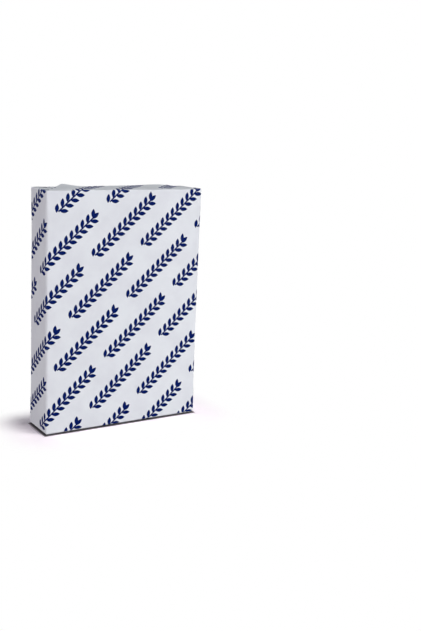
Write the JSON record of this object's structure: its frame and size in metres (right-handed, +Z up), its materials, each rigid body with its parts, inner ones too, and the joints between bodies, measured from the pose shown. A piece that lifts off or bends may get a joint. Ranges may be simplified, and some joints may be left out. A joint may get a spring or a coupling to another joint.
{
  "type": "wrapped ream of paper",
  "caption": "Sealed, paper-wrapped ream of A4 office paper standing on its short folded end, with envelope-folded ends and a glued seam down the back.",
  "frame": {"origin": "middle of the bounding box, on the surface that the ream stands on", "axes": "+Z up along the long side of the sheets, +X across their short side, +Y from the front face to the back face through the thickness"},
  "size_m": [0.2102, 0.0523, 0.3007],
  "materials": {
    "wrapper_paper": "matte wrapping paper, printed with slanted rows of navy leaf sprays"
  },
  "bodies": {
    "root": {"wrapped_ream": "wrapper_paper"}
  },
  "joints": []
}
